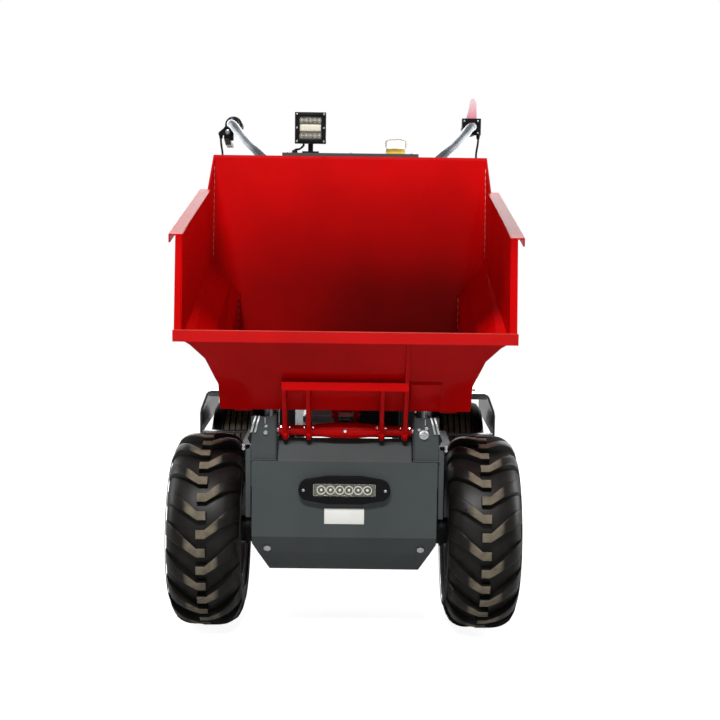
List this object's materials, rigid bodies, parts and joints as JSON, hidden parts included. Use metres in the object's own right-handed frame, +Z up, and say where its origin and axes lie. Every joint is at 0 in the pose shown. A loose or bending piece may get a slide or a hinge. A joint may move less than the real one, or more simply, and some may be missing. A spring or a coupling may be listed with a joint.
{
  "type": "walk-behind site dumper",
  "caption": "Walk-behind wheeled site dumper with a forward-tipping steel skip, folded chassis, engine behind, tipping ram, light bar and handlebar controls.",
  "frame": {"origin": "on the ground under the middle of the bounding box", "axes": "+Z up, -Y forwards (the skip tips over -Y), +X to the operator's left hand as seen from the skip's side"},
  "size_m": [0.726, 1.336, 1.1653],
  "materials": {
    "red_paint": "gloss powder coat",
    "grey_paint": "satin powder coat",
    "black_paint": "satin",
    "zinc_steel": "zinc plated",
    "chrome_steel": "polished",
    "cast_aluminium": "as cast",
    "tyre_rubber": "matte",
    "soft_rubber": "matte",
    "black_plastic": "textured",
    "red_plastic": "translucent",
    "yellow_plastic": "gloss"
  },
  "bodies": {
    "chassis": {"chassis_frame": "grey_paint", "front_plate": "grey_paint", "pivot_post_left": "grey_paint", "pivot_post_right": "grey_paint", "hinge_pin": "zinc_steel", "front_axle": "black_paint", "rear_axle": "black_paint", "drive_case": "black_paint", "mudguard_left": "grey_paint", "mudguard_right": "grey_paint", "battery_box": "grey_paint", "tool_box": "grey_paint", "engine_block": "cast_aluminium", "fuel_tank": "red_paint", "recoil_starter": "black_plastic", "air_filter": "black_plastic", "muffler": "zinc_steel", "oil_reservoir": "black_paint", "handlebar_left": "zinc_steel", "handlebar_right": "zinc_steel", "grip_left": "soft_rubber", "grip_right": "soft_rubber", "console_box": "grey_paint", "tipping_lever": "black_plastic", "clutch_lever": "black_plastic", "throttle_housing": "black_plastic", "throttle_lever": "red_plastic", "control_cable_left": "soft_rubber", "control_cable_right": "soft_rubber", "work_light": "black_plastic", "work_light_lead": "soft_rubber", "beacon": "yellow_plastic", "light_bar": "black_plastic"},
    "skip": {"skip_tub": "red_paint", "skip_hinge": "red_paint"},
    "ram_barrel": {"ram_barrel": "black_paint"},
    "ram_rod": {"ram_rod": "chrome_steel"},
    "front_wheel_left": {"front_tyre_left": "tyre_rubber", "front_rim_left": "cast_aluminium"},
    "rear_wheel_left": {"rear_tyre_left": "tyre_rubber", "rear_rim_left": "cast_aluminium"},
    "front_wheel_right": {"front_tyre_right": "tyre_rubber", "front_rim_right": "cast_aluminium"},
    "rear_wheel_right": {"rear_tyre_right": "tyre_rubber", "rear_rim_right": "cast_aluminium"}
  },
  "joints": [
    {"name": "skip_tip", "type": "hinge", "parent": "chassis", "child": "skip", "pos_m": [0, -0.502, 0.438], "axis": [1, 0, 0], "range_deg": [0, 60]},
    {"name": "ram_swing", "type": "hinge", "parent": "chassis", "child": "ram_barrel", "pos_m": [0, -0.252, 0.197], "axis": [1, 0, 0], "range_deg": [0, 3]},
    {"name": "ram_slide", "type": "slide", "parent": "ram_barrel", "child": "ram_rod", "axis": [0, -0.3714, 0.9285], "range_m": [0, 0.15]},
    {"name": "front_wheel_left_spin", "type": "hinge", "parent": "chassis", "child": "front_wheel_left", "pos_m": [0.285, -0.372, 0.203], "axis": [1, 0, 0], "continuous": true},
    {"name": "front_wheel_right_spin", "type": "hinge", "parent": "chassis", "child": "front_wheel_right", "pos_m": [-0.285, -0.372, 0.203], "axis": [1, 0, 0], "continuous": true},
    {"name": "rear_wheel_left_spin", "type": "hinge", "parent": "chassis", "child": "rear_wheel_left", "pos_m": [0.278, 0.368, 0.185], "axis": [1, 0, 0], "continuous": true},
    {"name": "rear_wheel_right_spin", "type": "hinge", "parent": "chassis", "child": "rear_wheel_right", "pos_m": [-0.278, 0.368, 0.185], "axis": [1, 0, 0], "continuous": true}
  ],
  "couplings": [
    {"joint": "ram_swing", "follows": "skip_tip", "ratio": 0.04},
    {"joint": "ram_slide", "follows": "skip_tip", "m_per_rad": 0.1416}
  ]
}
